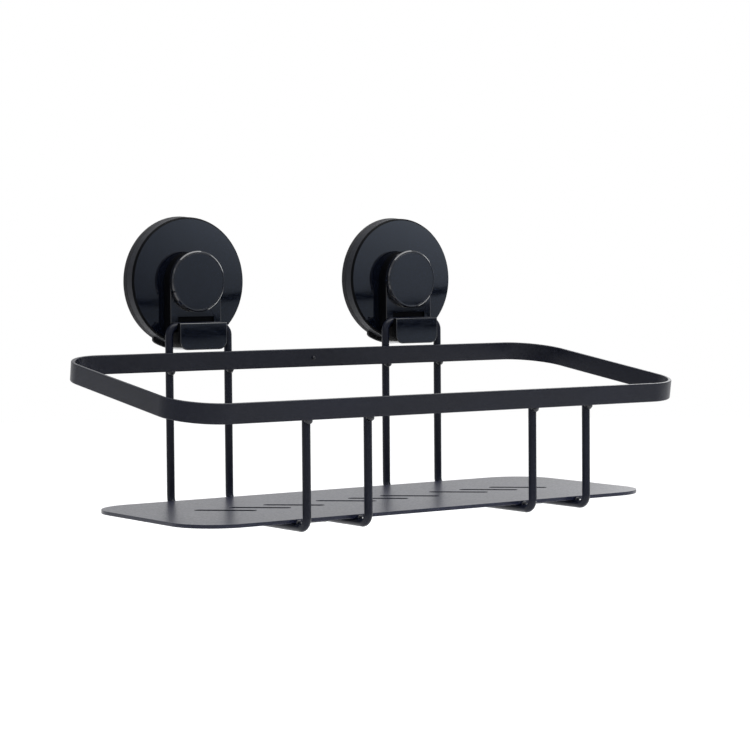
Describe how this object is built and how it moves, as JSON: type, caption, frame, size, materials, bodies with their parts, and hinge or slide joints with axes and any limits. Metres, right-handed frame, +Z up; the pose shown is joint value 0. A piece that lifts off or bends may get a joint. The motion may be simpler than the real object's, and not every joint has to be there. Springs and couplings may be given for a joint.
{
  "type": "shower caddy",
  "caption": "Wall-hung shower basket: a flat-bar rim and slotted shelf on bent-wire frames that hook onto screw-down suction cups.",
  "frame": {"origin": "on the wall plane, midway between the two suction cups' centres", "axes": "+X to the right as seen from the front, +Y into the wall, +Z up"},
  "size_m": [0.3, 0.1468, 0.1483],
  "materials": {
    "powder_coat": "matte powder coat",
    "gloss_plastic": "gloss",
    "pad_rubber": "soft satin",
    "plated_steel": "zinc plated"
  },
  "bodies": {
    "wall_cups": {"left_suction_pad": "pad_rubber", "left_cover_disc": "gloss_plastic", "left_hook_bracket": "gloss_plastic", "right_suction_pad": "pad_rubber", "right_cover_disc": "gloss_plastic", "right_hook_bracket": "gloss_plastic"},
    "basket": {"rim_bar": "powder_coat", "shelf_plate": "powder_coat", "left_wire_frame": "powder_coat", "right_wire_frame": "powder_coat", "left_crossbar": "powder_coat", "right_crossbar": "powder_coat", "rim_weld_beads": "powder_coat", "shelf_weld_beads": "powder_coat", "rim_seam_weld": "powder_coat"},
    "left_knob_group": {"left_knob": "gloss_plastic", "left_knob_nut": "plated_steel", "left_knob_cap": "gloss_plastic"},
    "left_stud_group": {"left_stud": "plated_steel", "left_pad_centre": "pad_rubber"},
    "right_knob_group": {"right_knob": "gloss_plastic", "right_knob_nut": "plated_steel", "right_knob_cap": "gloss_plastic"},
    "right_stud_group": {"right_stud": "plated_steel", "right_pad_centre": "pad_rubber"}
  },
  "joints": [
    {"name": "basket_swing", "type": "hinge", "parent": "wall_cups", "child": "basket", "pos_m": [0, -0.01775, -0.0224], "axis": [-1, 0, 0], "range_deg": [0, 75]},
    {"name": "left_knob_turn", "type": "hinge", "parent": "wall_cups", "child": "left_knob_group", "pos_m": [-0.0665, 0, 0], "axis": [0, 1, 0], "range_deg": [0, 720]},
    {"name": "left_stud_draw", "type": "slide", "parent": "wall_cups", "child": "left_stud_group", "axis": [0, -1, 0], "range_m": [0, 0.002]},
    {"name": "right_knob_turn", "type": "hinge", "parent": "wall_cups", "child": "right_knob_group", "pos_m": [0.0665, 0, 0], "axis": [0, 1, 0], "range_deg": [0, 720]},
    {"name": "right_stud_draw", "type": "slide", "parent": "wall_cups", "child": "right_stud_group", "axis": [0, -1, 0], "range_m": [0, 0.002]}
  ],
  "couplings": [
    {"joint": "left_knob_turn", "follows": "left_stud_draw", "rad_per_m": 6283},
    {"joint": "right_knob_turn", "follows": "right_stud_draw", "rad_per_m": 6283}
  ]
}
